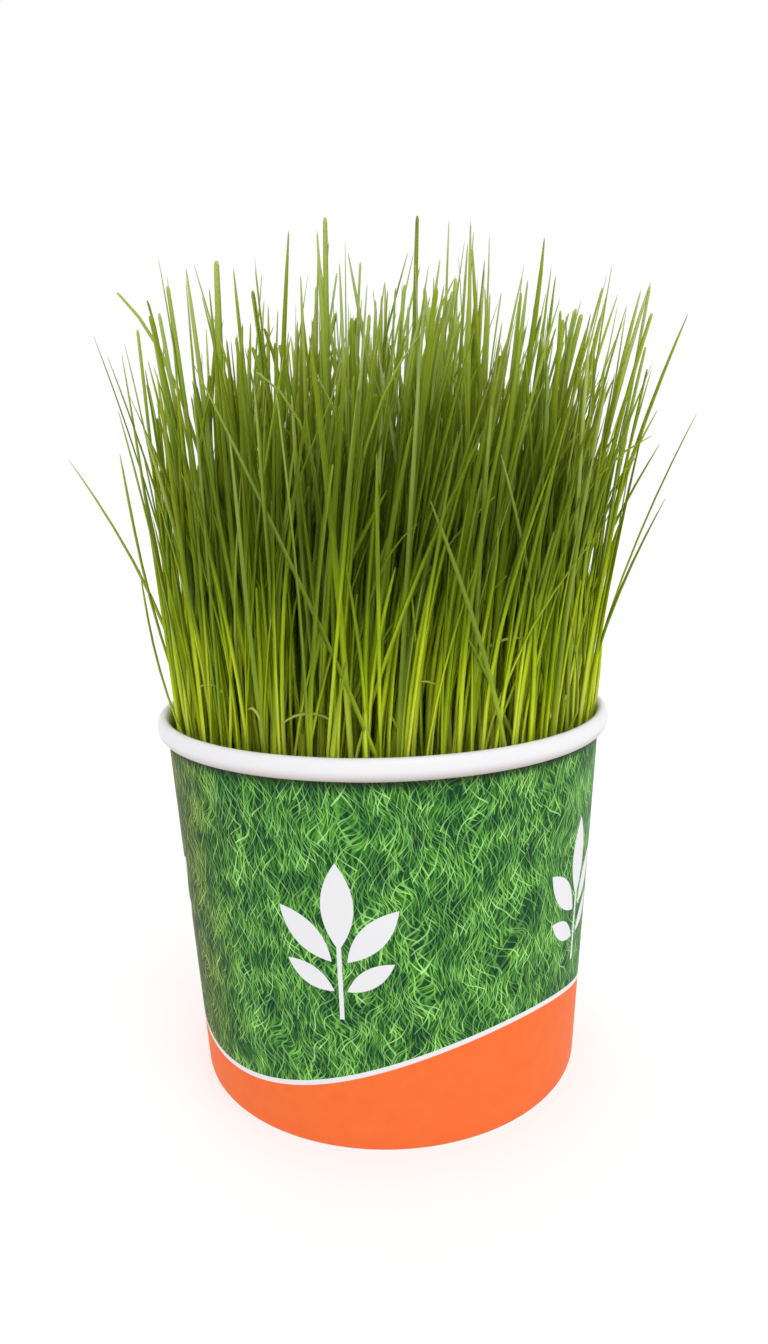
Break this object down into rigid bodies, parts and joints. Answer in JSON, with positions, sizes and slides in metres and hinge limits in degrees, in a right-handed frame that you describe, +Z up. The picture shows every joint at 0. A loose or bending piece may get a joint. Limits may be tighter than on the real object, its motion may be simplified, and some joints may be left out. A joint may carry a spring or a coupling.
{
  "type": "tub of wheatgrass",
  "caption": "Round printed paper tub with a rolled white rim, filled with soil and a dense upright tuft of wheatgrass blades that splays slightly outwards.",
  "frame": {"origin": "centre of the tub's foot, on the surface that it stands on", "axes": "+Z up along the tub's axis; -Y is the side that faces the camera in the picture, +X to its right; the wall's lapped seam is on the far side"},
  "size_m": [0.1296, 0.122, 0.1763],
  "materials": {
    "printed_board": "coated board, satin print",
    "white_board": "coated board, satin",
    "moist_soil": "crumbly, matte, moist",
    "grass_green": "leaf, satin"
  },
  "bodies": {
    "root": {"cup_wall": "printed_board", "cup_bottom": "white_board", "soil": "moist_soil", "grass": "grass_green"}
  },
  "joints": []
}
